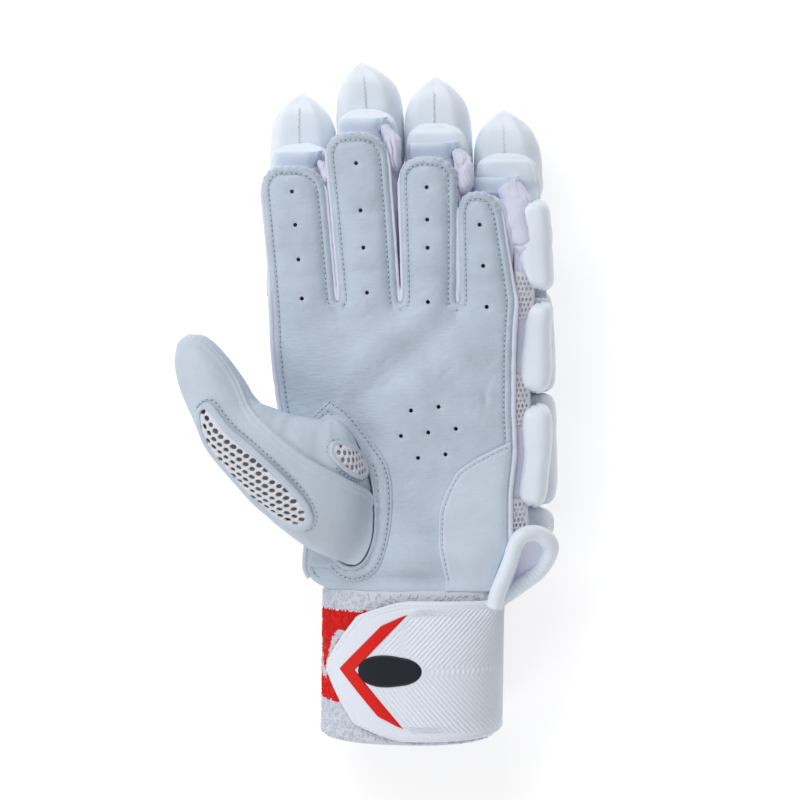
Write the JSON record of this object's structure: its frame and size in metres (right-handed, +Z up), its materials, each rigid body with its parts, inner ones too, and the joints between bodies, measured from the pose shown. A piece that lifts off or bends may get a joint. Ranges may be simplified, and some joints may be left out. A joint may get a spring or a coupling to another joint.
{
  "type": "cricket batting glove",
  "caption": "Left-hand cricket batting glove, palm up: leather palm and thumb, knitted finger stalls, stuffed rolls on the back, towelling wristband with a pointed strap.",
  "frame": {"origin": "middle of the underside of the glove's box, on the surface it lies on", "axes": "+Y along the fingers, +X towards the little finger, +Z up out of the palm"},
  "size_m": [0.1694, 0.308, 0.0823],
  "materials": {
    "palm_leather": "soft matt, fine grain, pale grey-blue",
    "white_leather": "smooth satin, white",
    "knit": "matt knitted cloth, white with a lilac cast",
    "mesh_fabric": "open spacer mesh",
    "elastic_tape": "ribbed woven elastic",
    "towelling": "looped towelling, white with a red band",
    "strap_rubber": "moulded satin rubber with fine ribs, white",
    "red_rubber": "satin, red",
    "dark_rubber": "satin, dark navy"
  },
  "bodies": {
    "root": {"palm": "palm_leather", "thumb_patch": "palm_leather", "heel_patch": "palm_leather", "stall_index": "knit", "pad_index": "white_leather", "elastic_index": "elastic_tape", "stall_middle": "knit", "pad_middle": "white_leather", "elastic_middle": "elastic_tape", "stall_ring": "knit", "pad_ring": "white_leather", "elastic_ring": "elastic_tape", "stall_little": "knit", "pad_little": "white_leather", "elastic_little": "elastic_tape", "roll_index_tip": "white_leather", "roll_index_mid": "white_leather", "roll_index_knuckle": "white_leather", "roll_index_hand": "white_leather", "roll_middle_tip": "white_leather", "roll_middle_mid": "white_leather", "roll_middle_knuckle": "white_leather", "roll_middle_hand": "white_leather", "roll_ring_tip": "white_leather", "roll_ring_mid": "white_leather", "roll_ring_knuckle": "white_leather", "roll_ring_hand": "white_leather", "roll_little_tip": "white_leather", "roll_little_mid": "white_leather", "roll_little_knuckle": "white_leather", "roll_little_hand": "white_leather", "wrist_pad": "white_leather", "back_panel": "knit", "side_bar_finger": "white_leather", "side_bar_knuckle": "white_leather", "side_bar_hand": "white_leather", "thumb_outer": "palm_leather", "thumb_inner": "palm_leather", "thumb_back": "palm_leather", "thumb_mesh": "mesh_fabric", "web_mesh": "mesh_fabric", "thumb_guard_lower": "white_leather", "thumb_guard_upper": "white_leather", "thumb_binding": "palm_leather", "wristband": "towelling", "strap": "strap_rubber", "strap_chevron": "red_rubber", "strap_badge": "dark_rubber", "gusset_rim": "white_leather", "gusset_panel": "knit"}
  },
  "joints": []
}
